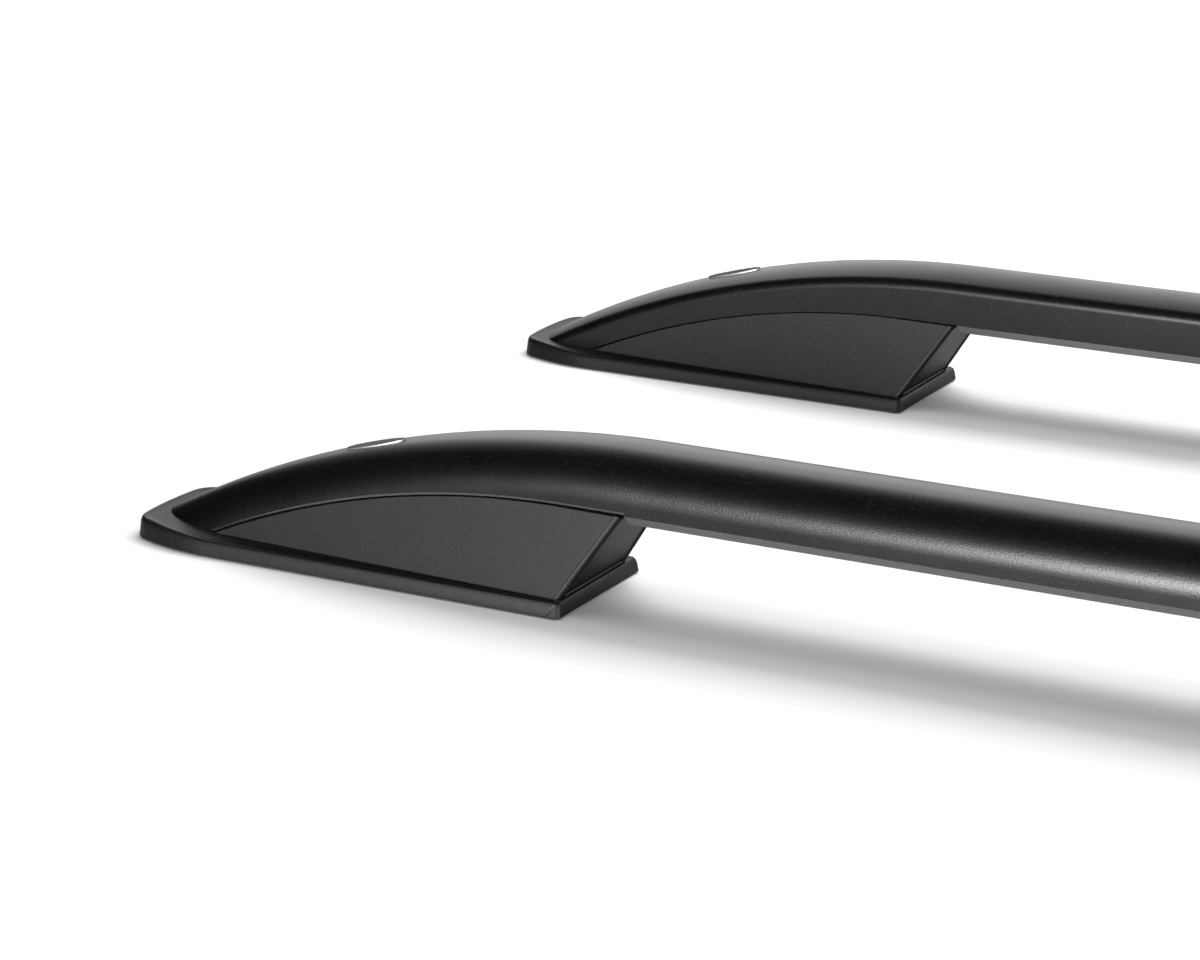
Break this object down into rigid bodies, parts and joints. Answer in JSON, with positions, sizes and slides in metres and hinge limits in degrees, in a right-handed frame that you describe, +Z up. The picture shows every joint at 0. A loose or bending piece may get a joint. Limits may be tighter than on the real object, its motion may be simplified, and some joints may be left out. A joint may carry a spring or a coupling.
{
  "type": "roof side rail pair",
  "caption": "Pair of black car roof side rails: bent hollow extrusions that come down into moulded feet with slanted end caps, bolted to the roof from below.",
  "frame": {"origin": "middle of the pair, on the roof surface that the feet stand on", "axes": "+X along the rails towards their rear ends, +Y from the left rail to the right rail, +Z up"},
  "size_m": [1.7, 0.4742, 0.0774],
  "materials": {
    "rail_coat": "satin",
    "foot_plastic": "grained",
    "bracket_steel": "zinc plated",
    "fastener_steel": "zinc plated",
    "sole_rubber": "matte",
    "badge_chrome": "polished"
  },
  "bodies": {
    "root": {"left_rail": "rail_coat", "left_badge": "badge_chrome", "left_front_foot_shell": "foot_plastic", "left_front_end_cap": "foot_plastic", "left_front_bracket": "bracket_steel", "left_front_clinch_nuts": "fastener_steel", "left_front_rail_screws": "fastener_steel", "left_front_shell_screws": "fastener_steel", "left_front_sole_gasket": "sole_rubber", "left_rear_foot_shell": "foot_plastic", "left_rear_end_cap": "foot_plastic", "left_rear_bracket": "bracket_steel", "left_rear_clinch_nuts": "fastener_steel", "left_rear_rail_screws": "fastener_steel", "left_rear_shell_screws": "fastener_steel", "left_rear_sole_gasket": "sole_rubber", "right_rail": "rail_coat", "right_badge": "badge_chrome", "right_front_foot_shell": "foot_plastic", "right_front_end_cap": "foot_plastic", "right_front_bracket": "bracket_steel", "right_front_clinch_nuts": "fastener_steel", "right_front_rail_screws": "fastener_steel", "right_front_shell_screws": "fastener_steel", "right_front_sole_gasket": "sole_rubber", "right_rear_foot_shell": "foot_plastic", "right_rear_end_cap": "foot_plastic", "right_rear_bracket": "bracket_steel", "right_rear_clinch_nuts": "fastener_steel", "right_rear_rail_screws": "fastener_steel", "right_rear_shell_screws": "fastener_steel", "right_rear_sole_gasket": "sole_rubber"}
  },
  "joints": []
}
